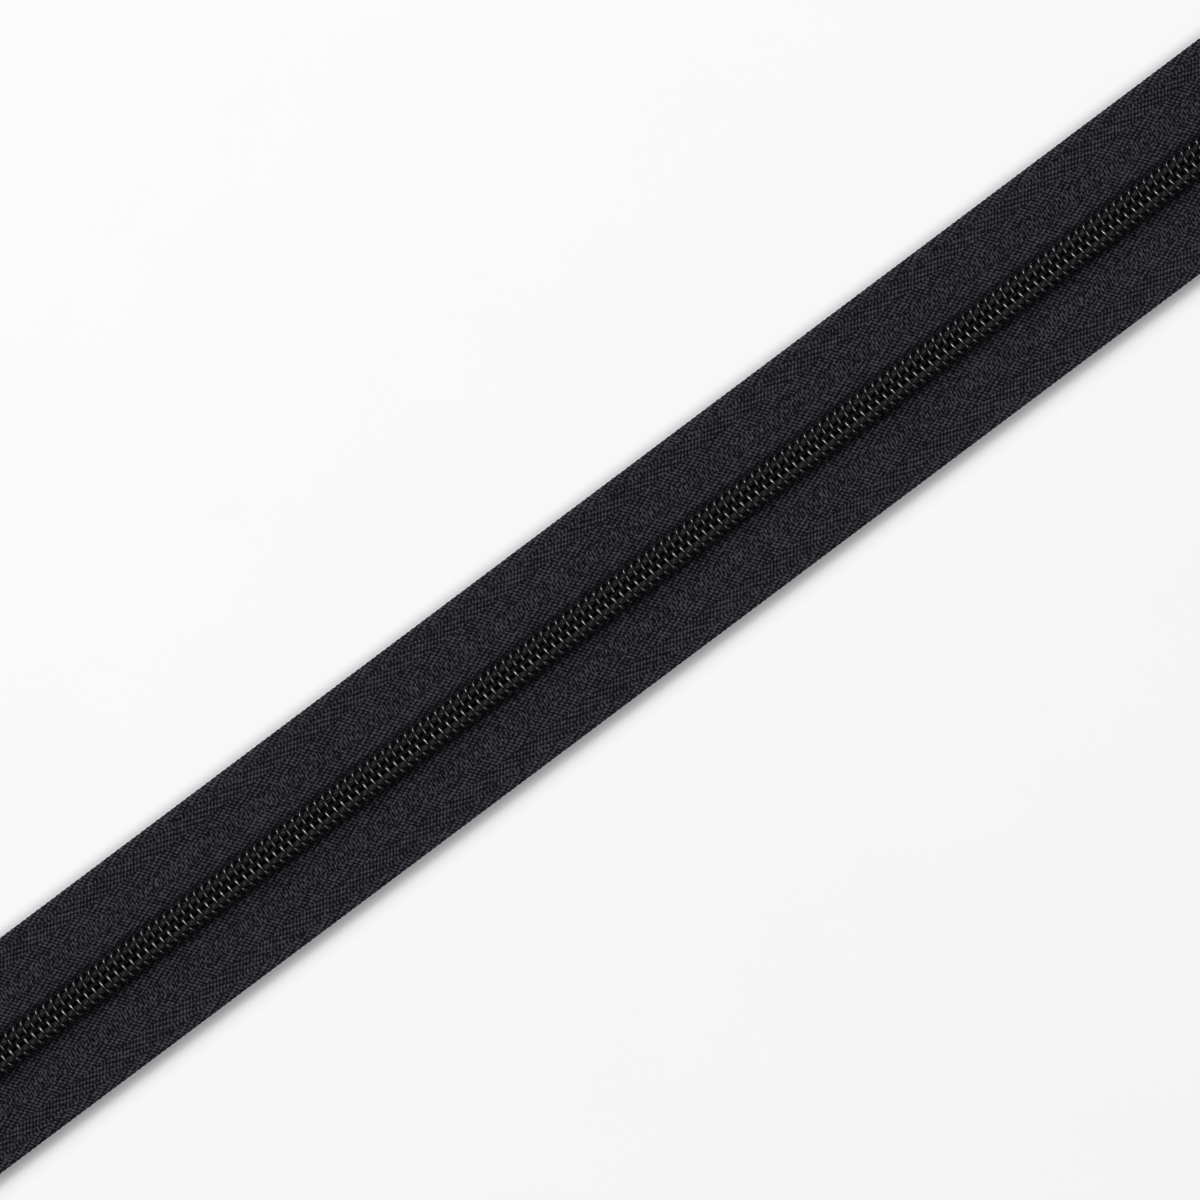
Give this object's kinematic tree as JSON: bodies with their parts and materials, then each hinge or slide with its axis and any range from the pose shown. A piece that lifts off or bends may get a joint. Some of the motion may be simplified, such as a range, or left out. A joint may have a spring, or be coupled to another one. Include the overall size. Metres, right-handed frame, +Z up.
{
  "type": "zipper",
  "caption": "Closed nylon coil zipper: woven tapes carrying interlocked coils, a locking slider with a swinging pull tab, and metal end stops.",
  "frame": {"origin": "middle of the tape's length on the chain's centre line, at the surface that the slider lies on", "axes": "+X along the chain to the closed slider at the top end, +Y to the left stringer, +Z up on the coil side"},
  "size_m": [0.344, 0.0396, 0.0091],
  "materials": {
    "tape": "black woven polyester",
    "coil": "black nylon monofilament",
    "core_cord": "black spun yarn",
    "thread": "black polyester thread",
    "stop": "gunmetal plated",
    "slider": "black lacquer on die-cast zinc",
    "spring": "spring steel",
    "pull": "black lacquer on die-cast zinc"
  },
  "bodies": {
    "chain": {"left_tape": "tape", "right_tape": "tape", "left_coil": "coil", "right_coil": "coil", "left_core_cord": "core_cord", "right_core_cord": "core_cord", "left_needle_thread": "thread", "right_needle_thread": "thread", "left_looper_thread": "thread", "right_looper_thread": "thread", "left_top_stop": "stop", "right_top_stop": "stop", "bottom_stop": "stop"},
    "slider": {"slider_body": "slider", "slider_crown": "slider"},
    "lock": {"lock_spring": "spring"},
    "pull": {"pull_tab": "pull"}
  },
  "joints": [
    {"name": "slider_travel", "type": "slide", "parent": "chain", "child": "slider", "axis": [-1, 0, 0], "range_m": [0, 0.2845], "deforming": ["left_tape", "right_tape", "left_coil", "right_coil", "left_core_cord", "right_core_cord", "left_needle_thread", "right_needle_thread", "left_looper_thread", "right_looper_thread"]},
    {"name": "pull_swing", "type": "hinge", "parent": "slider", "child": "pull", "pos_m": [0.1446, 0, 0.00655], "axis": [0, -1, 0], "range_deg": [0, 180]},
    {"name": "lock_lift", "type": "hinge", "parent": "slider", "child": "lock", "pos_m": [0.1479, 0, 0.0074], "axis": [0, 1, 0], "range_deg": [0, 8], "stiffness_Nm_per_rad": 0.002}
  ]
}
